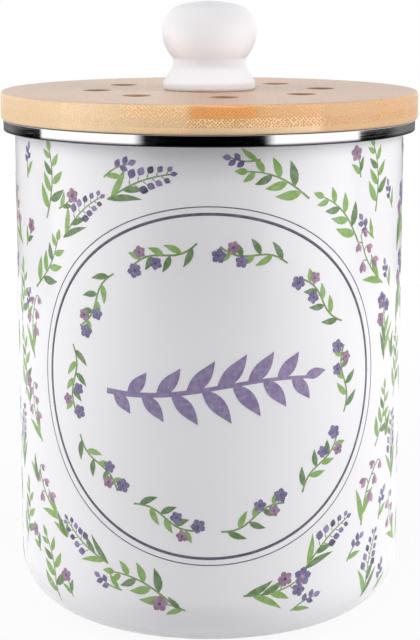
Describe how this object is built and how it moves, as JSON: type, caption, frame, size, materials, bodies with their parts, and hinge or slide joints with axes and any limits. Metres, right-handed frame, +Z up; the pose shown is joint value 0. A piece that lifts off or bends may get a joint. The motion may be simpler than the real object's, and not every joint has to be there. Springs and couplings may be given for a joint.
{
  "type": "compost caddy",
  "caption": "Round countertop compost caddy: enamelled steel can, polished rim ring and a lift-off bamboo lid with knob, vent holes and a twist-off filter.",
  "frame": {"origin": "centre of the base, on the surface that the can stands on", "axes": "+Z up along the can's axis, -Y towards the front of the picture, +X to its right"},
  "size_m": [0.17, 0.17, 0.2496],
  "materials": {
    "enamel": "white vitreous enamel, glossy, with a printed botanical pattern",
    "polished_steel": "mirror-polished stainless steel",
    "bamboo_top": "laminated bamboo strips, satin varnish",
    "bamboo_core": "laminated bamboo, end grain round the edge, satin varnish",
    "bamboo_bottom": "laminated bamboo, side grain, satin varnish",
    "bamboo_plug": "turned bamboo, satin varnish",
    "silicone": "translucent white silicone",
    "knob_white": "white satin moulding",
    "brass": "turned brass",
    "screw_steel": "zinc-plated steel",
    "holder_plastic": "fine-textured dark grey plastic",
    "carbon_felt": "activated-carbon felt"
  },
  "bodies": {
    "can": {"can_body": "enamel", "rim_ring": "polished_steel"},
    "lid": {"lid_top_ply": "bamboo_top", "lid_core_ply": "bamboo_core", "lid_bottom_ply": "bamboo_bottom", "lid_plug_ring": "bamboo_plug", "lid_gasket": "silicone", "knob": "knob_white", "knob_insert": "brass", "knob_screw": "screw_steel", "knob_washer": "screw_steel", "holder_screw_1": "screw_steel", "holder_screw_2": "screw_steel", "holder_screw_3": "screw_steel"},
    "filter": {"filter_holder": "holder_plastic", "filter_pad": "carbon_felt"}
  },
  "joints": [
    {"name": "lid_lift", "type": "slide", "parent": "can", "child": "lid", "axis": [0, 0, 1], "range_m": [0, 0.12]},
    {"name": "filter_twist", "type": "hinge", "parent": "lid", "child": "filter", "pos_m": [0, 0, 0.2018], "axis": [0, 0, 1], "range_deg": [0, 12]}
  ]
}
